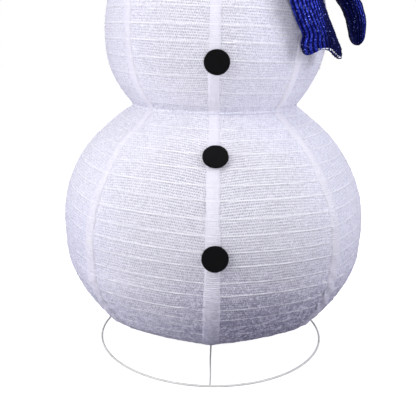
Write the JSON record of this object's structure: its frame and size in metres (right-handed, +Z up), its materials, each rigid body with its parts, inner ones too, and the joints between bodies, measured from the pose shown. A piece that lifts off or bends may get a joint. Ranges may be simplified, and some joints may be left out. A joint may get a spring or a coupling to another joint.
{
  "type": "collapsible yard snowman",
  "caption": "Pop-up yard snowman: white mesh balls over a spiral spring wire, on a wire ground ring with a telescoping pole, with scarf, felt buttons and hat.",
  "frame": {"origin": "centre of the hub's flat underside, in the plane that the ground ring stands on", "axes": "+Z up along the pole; the face and buttons look along -Y; +X is the side with the scarf's knot"},
  "size_m": [0.6016, 0.6064, 1.22],
  "materials": {
    "mesh_cloth": "open white polyester mesh with a faint tinsel sparkle",
    "tape_cloth": "close-woven white binding tape",
    "white_wire": "white powder-coated steel wire",
    "spring_wire": "white coated spring steel wire",
    "white_plastic": "moulded white plastic",
    "white_tube": "white painted steel tube",
    "collar_plastic": "moulded grey plastic with grip ribs",
    "black_felt": "black felt, cut edge",
    "blue_cloth": "royal blue ribbed cloth with a soft shine",
    "orange_felt": "orange felt",
    "lamps": "clear small lamps on a pale lead"
  },
  "bodies": {
    "base": {"ground_ring": "white_wire", "spoke_front": "white_wire", "spoke_right": "white_wire", "spoke_left": "white_wire", "base_hub": "white_plastic", "hem_plate": "white_plastic", "hem_hoop": "spring_wire", "lower_tube": "white_tube", "lower_skin": "mesh_cloth", "chest_skin": "mesh_cloth", "head_skin": "mesh_cloth", "lower_spring_wire": "spring_wire", "chest_spring_wire": "spring_wire", "head_spring_wire": "spring_wire", "seam_tape_1": "tape_cloth", "seam_tape_2": "tape_cloth", "seam_tape_3": "tape_cloth", "seam_tape_4": "tape_cloth", "seam_tape_5": "tape_cloth", "seam_tape_6": "tape_cloth", "seam_tape_7": "tape_cloth", "seam_tape_8": "tape_cloth", "light_string": "lamps"},
    "lower_collar_body": {"lower_collar": "collar_plastic"},
    "pole_middle": {"middle_tube": "white_tube"},
    "middle_collar_body": {"middle_collar": "collar_plastic"},
    "top": {"upper_tube": "white_tube", "crown_plate": "white_plastic", "crown_hoop": "spring_wire", "hat_brim": "black_felt", "hat_crown": "black_felt", "hat_band": "blue_cloth"},
    "waist": {"waist_hoop": "spring_wire"},
    "neck": {"neck_hoop": "spring_wire"},
    "low_button": {"button_low": "black_felt"},
    "middle_button": {"button_middle": "black_felt"},
    "top_button": {"button_top": "black_felt"},
    "nose_body": {"nose": "orange_felt"},
    "eyes": {"eye_left": "black_felt", "eye_right": "black_felt"},
    "mouth": {"mouth_dot_1": "black_felt", "mouth_dot_2": "black_felt", "mouth_dot_3": "black_felt", "mouth_dot_4": "black_felt", "mouth_dot_5": "black_felt", "mouth_dot_6": "black_felt"},
    "scarf": {"scarf_wrap": "blue_cloth", "scarf_knot": "blue_cloth", "scarf_tail_front": "blue_cloth", "scarf_tail_back": "blue_cloth"}
  },
  "joints": [
    {"name": "collapse", "type": "slide", "parent": "base", "child": "top", "axis": [0, 0, -1], "range_m": [0, 0.585], "deforming": ["lower_skin", "chest_skin", "head_skin", "lower_spring_wire", "chest_spring_wire", "head_spring_wire", "seam_tape_1", "seam_tape_2", "seam_tape_3", "seam_tape_4", "seam_tape_5", "seam_tape_6", "seam_tape_7", "seam_tape_8", "light_string"]},
    {"name": "pole_middle_slide", "type": "slide", "parent": "base", "child": "pole_middle", "axis": [0, 0, -1], "range_m": [0, 0.2925]},
    {"name": "waist_drop", "type": "slide", "parent": "base", "child": "waist", "axis": [0, 0, -1], "range_m": [0, 0.2625]},
    {"name": "neck_drop", "type": "slide", "parent": "base", "child": "neck", "axis": [0, 0, -1], "range_m": [0, 0.4534]},
    {"name": "low_button_drop", "type": "slide", "parent": "base", "child": "low_button", "axis": [0, 0, -1], "range_m": [0, 0.1363]},
    {"name": "middle_button_drop", "type": "slide", "parent": "base", "child": "middle_button", "axis": [0, 0, -1], "range_m": [0, 0.2257]},
    {"name": "top_button_drop", "type": "slide", "parent": "base", "child": "top_button", "axis": [0, 0, -1], "range_m": [0, 0.3149]},
    {"name": "nose_drop", "type": "slide", "parent": "base", "child": "nose_body", "axis": [0, 0, -1], "range_m": [0, 0.5158]},
    {"name": "eyes_drop", "type": "slide", "parent": "base", "child": "eyes", "axis": [0, 0, -1], "range_m": [0, 0.5389]},
    {"name": "mouth_drop", "type": "slide", "parent": "base", "child": "mouth", "axis": [0, 0, -1], "range_m": [0, 0.4927]},
    {"name": "scarf_drop", "type": "slide", "parent": "base", "child": "scarf", "axis": [0, 0, -1], "range_m": [0, 0.4592], "deforming": ["scarf_wrap", "scarf_knot", "scarf_tail_front", "scarf_tail_back"]},
    {"name": "lower_collar_twist", "type": "hinge", "parent": "base", "child": "lower_collar_body", "pos_m": [0, 0, 0.365], "axis": [0, 0, 1], "range_deg": [0, 90]},
    {"name": "middle_collar_twist", "type": "hinge", "parent": "pole_middle", "child": "middle_collar_body", "pos_m": [0, 0, 0.707], "axis": [0, 0, 1], "range_deg": [0, 90]}
  ],
  "couplings": [
    {"joint": "pole_middle_slide", "follows": "collapse", "ratio": 0.5},
    {"joint": "waist_drop", "follows": "collapse", "ratio": 0.44857},
    {"joint": "neck_drop", "follows": "collapse", "ratio": 0.77493},
    {"joint": "low_button_drop", "follows": "collapse", "ratio": 0.23277},
    {"joint": "middle_button_drop", "follows": "collapse", "ratio": 0.38559},
    {"joint": "top_button_drop", "follows": "collapse", "ratio": 0.5381},
    {"joint": "nose_drop", "follows": "collapse", "ratio": 0.88154},
    {"joint": "eyes_drop", "follows": "collapse", "ratio": 0.92103},
    {"joint": "mouth_drop", "follows": "collapse", "ratio": 0.84205},
    {"joint": "scarf_drop", "follows": "collapse", "ratio": 0.7848}
  ]
}
